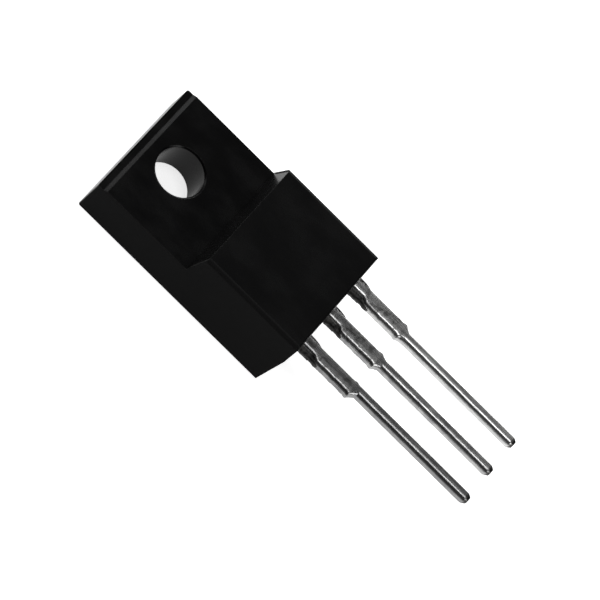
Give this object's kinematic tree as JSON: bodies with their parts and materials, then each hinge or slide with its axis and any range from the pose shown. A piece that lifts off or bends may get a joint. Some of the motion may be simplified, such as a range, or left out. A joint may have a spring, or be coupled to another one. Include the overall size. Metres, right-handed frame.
{
  "type": "power transistor",
  "caption": "Power transistor: black fully moulded case with a thinner, screw-holed tab and a row of flat stamped leads leaving the foot of the case.",
  "frame": {"origin": "centre of the mounting hole on the back (seating) face", "axes": "+Z along the mounting hole, out of the front face; +Y along the case towards the tab's end, so the leads run to -Y; +X across the case, to the right when the front face is seen with the leads down"},
  "size_m": [0.01, 0.0286, 0.0045],
  "materials": {
    "moulding_compound": "fine matt epoxy moulding compound, a little glossier at a low angle",
    "tinned_copper": "tin-plated copper strip, dull silver with bright rolled edges",
    "silicon": "polished dark grey silicon",
    "solder": "dull grey soft solder",
    "aluminium_wire": "soft drawn aluminium wire"
  },
  "bodies": {
    "root": {"moulded_case": "moulding_compound", "centre_leadframe": "tinned_copper", "control_lead": "tinned_copper", "power_lead": "tinned_copper", "chip": "silicon", "chip_solder": "solder", "thin_wire": "aluminium_wire", "thick_wire": "aluminium_wire"}
  },
  "joints": []
}
